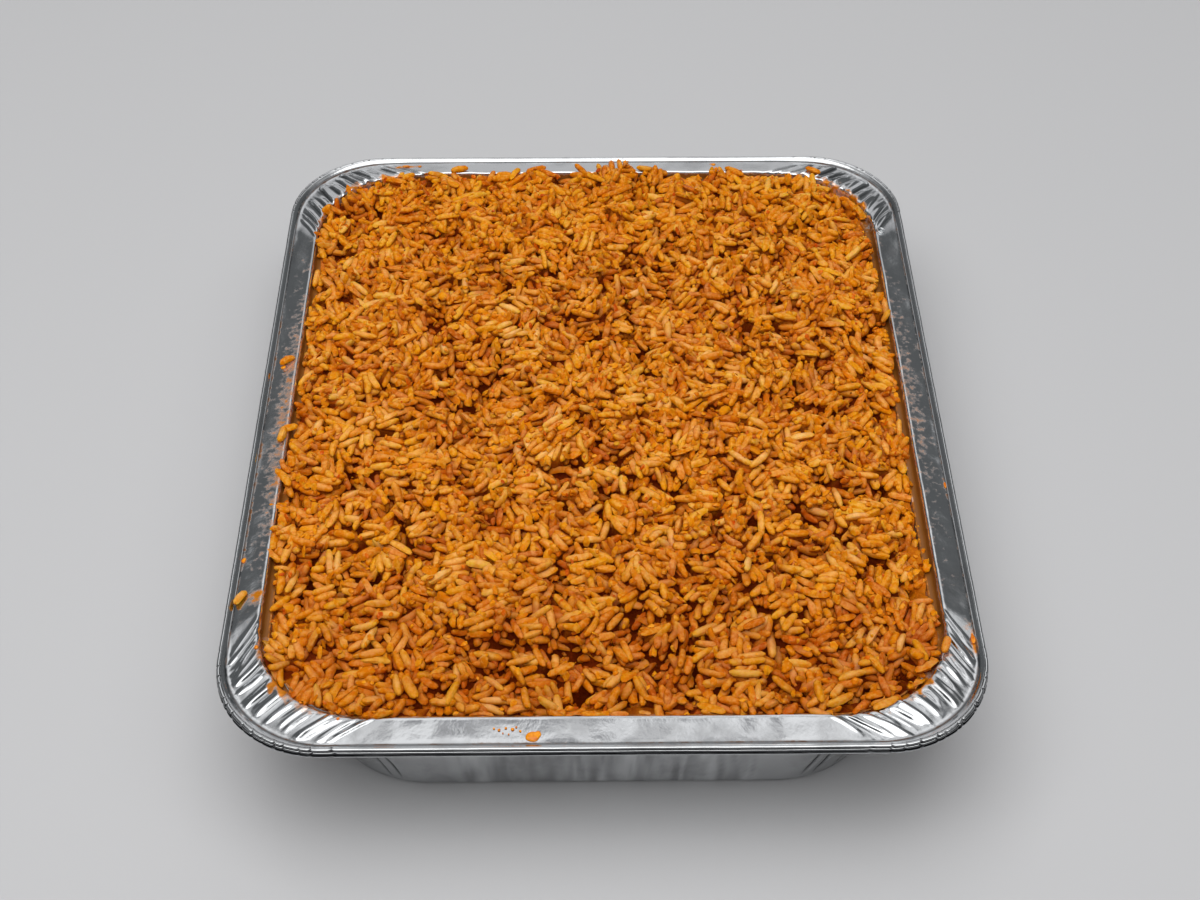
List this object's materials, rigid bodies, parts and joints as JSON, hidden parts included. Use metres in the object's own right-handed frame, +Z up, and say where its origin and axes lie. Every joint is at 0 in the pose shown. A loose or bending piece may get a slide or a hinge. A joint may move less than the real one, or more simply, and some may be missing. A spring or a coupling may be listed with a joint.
{
  "type": "jollof rice",
  "caption": "Jollof rice heaped level with the rim of a rectangular pressed foil pan with a wide pleated flange and a rolled edge.",
  "frame": {"origin": "middle of the pan's base, on the surface it stands on", "axes": "+Z up, X across the pan's short side, Y along its long side, with the side nearest the viewer towards -Y"},
  "size_m": [0.264, 0.322, 0.0718],
  "materials": {
    "foil": "bright pressed foil, pleated at the corners",
    "rice": "cooked long rice in tomato and pepper sauce, moist, orange brown"
  },
  "bodies": {
    "root": {"foil_pan": "foil", "jollof_rice": "rice"}
  },
  "joints": []
}
